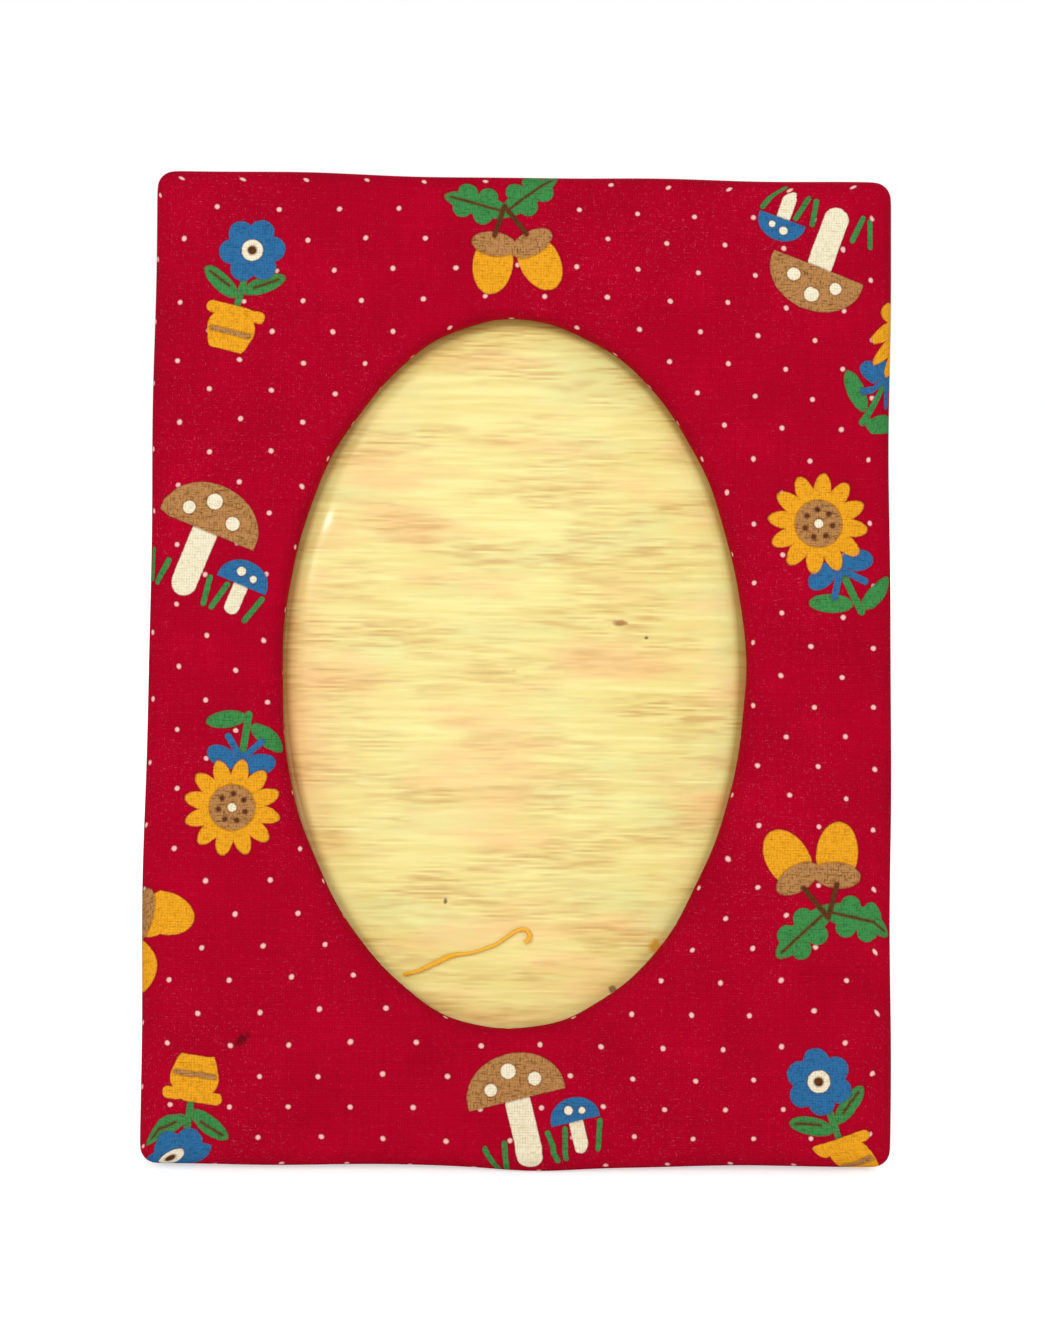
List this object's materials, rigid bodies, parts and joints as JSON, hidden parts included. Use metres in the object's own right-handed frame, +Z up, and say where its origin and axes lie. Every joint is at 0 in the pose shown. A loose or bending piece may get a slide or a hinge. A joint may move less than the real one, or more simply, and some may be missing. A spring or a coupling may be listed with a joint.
{
  "type": "picture frame",
  "caption": "Padded cotton-covered picture frame with an oval window, a card that slides out at the top and a folding easel leg behind.",
  "frame": {"origin": "on the table, under the middle of the standing frame", "axes": "+Z up, the picture faces -Y and leans back towards +Y, +X to the viewer's right"},
  "size_m": [0.1524, 0.0746, 0.1991],
  "materials": {
    "print_cotton": "matte",
    "wadding": "matte",
    "greyboard": "matte",
    "clear_sheet": "gloss",
    "slub_cloth": "satin",
    "gold_thread": "satin",
    "back_cotton": "matte",
    "lining_paper": "matte",
    "plated_steel": "satin",
    "satin_ribbon": "satin"
  },
  "bodies": {
    "frame": {"front_cover": "print_cotton", "front_wadding": "wadding", "front_board": "greyboard", "window": "clear_sheet", "loose_thread": "gold_thread", "pocket_rail_left": "greyboard", "pocket_rail_right": "greyboard", "pocket_rail_bottom": "greyboard", "back_board": "greyboard", "back_cloth": "back_cotton", "back_lining": "lining_paper", "hinge_leaf_back": "plated_steel", "hinge_pin": "plated_steel", "hinge_rivet_back_left": "plated_steel", "hinge_rivet_back_right": "plated_steel", "ribbon_stay": "satin_ribbon", "ribbon_staple_back": "plated_steel"},
    "insert": {"insert_card": "greyboard", "insert_cloth": "slub_cloth"},
    "leg": {"leg_board": "greyboard", "leg_cloth": "back_cotton", "leg_lining": "lining_paper", "hinge_leaf_leg": "plated_steel", "hinge_rivet_leg_left": "plated_steel", "hinge_rivet_leg_right": "plated_steel", "ribbon_staple_leg": "plated_steel"}
  },
  "joints": [
    {"name": "insert_slide", "type": "slide", "parent": "frame", "child": "insert", "axis": [0, 0.225, 0.9744], "range_m": [0, 0.185]},
    {"name": "leg_hinge", "type": "hinge", "parent": "frame", "child": "leg", "pos_m": [0, 0.00917, 0.14081], "axis": [1, 0, 0], "range_deg": [-23, 0], "deforming": ["ribbon_stay"]}
  ]
}
